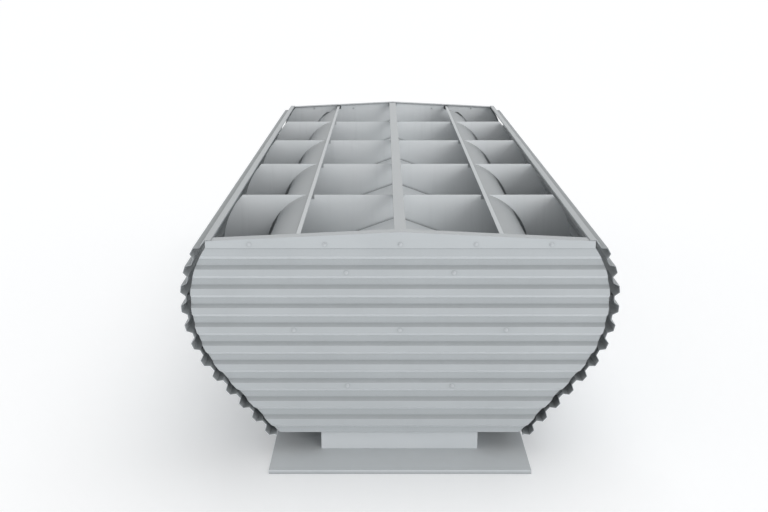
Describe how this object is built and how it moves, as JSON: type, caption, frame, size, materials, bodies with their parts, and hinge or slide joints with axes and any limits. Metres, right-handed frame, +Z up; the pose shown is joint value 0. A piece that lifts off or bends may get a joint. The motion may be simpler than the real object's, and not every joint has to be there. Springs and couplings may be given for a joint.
{
  "type": "roof ventilator",
  "caption": "Long open-topped natural roof ventilator with curved ribbed wind bands, bulkheads, inner shells and a rain cap over a flanged throat.",
  "frame": {"origin": "middle of the base, level with the underside of its down-turned lip", "axes": "+Y along the ventilator towards its rear end, +X across it, +Z up towards the open top"},
  "size_m": [1.664, 4.2, 0.913],
  "materials": {
    "ribbed_sheet": "rolled ribbed sheet, matt light grey coil coating on aluminium",
    "bulkhead_plate": "flat sheet, matt light grey coil coating on aluminium",
    "shell_sheet": "rolled sheet, matt light grey coil coating on aluminium",
    "folded_trim": "press-folded sheet, matt light grey coil coating on aluminium",
    "base_sheet": "press-folded sheet, matt light grey coil coating on aluminium",
    "bracket": "press-folded plate, bare and dull",
    "screw": "stainless hexagon head on a washer"
  },
  "bodies": {
    "root": {"base_side_left": "base_sheet", "throat_angles_left": "bracket", "inner_shell_left": "shell_sheet", "shell_cleats_left": "bracket", "inner_bar_left": "folded_trim", "wind_band_left": "ribbed_sheet", "band_cleats_left": "bracket", "rim_cap_left": "folded_trim", "band_screws_left": "screw", "base_side_right": "base_sheet", "throat_angles_right": "bracket", "inner_shell_right": "shell_sheet", "shell_cleats_right": "bracket", "inner_bar_right": "folded_trim", "wind_band_right": "ribbed_sheet", "band_cleats_right": "bracket", "rim_cap_right": "folded_trim", "band_screws_right": "screw", "base_end_front": "base_sheet", "end_angle_front": "bracket", "end_wall_front": "ribbed_sheet", "end_trim_front": "folded_trim", "wall_screws_front": "screw", "trim_screws_front": "screw", "base_end_rear": "base_sheet", "end_angle_rear": "bracket", "end_wall_rear": "ribbed_sheet", "end_trim_rear": "folded_trim", "wall_screws_rear": "screw", "trim_screws_rear": "screw", "centre_plate_1": "bulkhead_plate", "wing_plate_left_1": "bulkhead_plate", "wing_plate_right_1": "bulkhead_plate", "centre_plate_2": "bulkhead_plate", "wing_plate_left_2": "bulkhead_plate", "wing_plate_right_2": "bulkhead_plate", "centre_plate_3": "bulkhead_plate", "wing_plate_left_3": "bulkhead_plate", "wing_plate_right_3": "bulkhead_plate", "centre_plate_4": "bulkhead_plate", "wing_plate_left_4": "bulkhead_plate", "wing_plate_right_4": "bulkhead_plate", "centre_plate_5": "bulkhead_plate", "wing_plate_left_5": "bulkhead_plate", "wing_plate_right_5": "bulkhead_plate", "centre_plate_6": "bulkhead_plate", "wing_plate_left_6": "bulkhead_plate", "wing_plate_right_6": "bulkhead_plate", "rain_cap": "shell_sheet", "cap_cleats": "bracket", "ridge_bar": "folded_trim"}
  },
  "joints": []
}
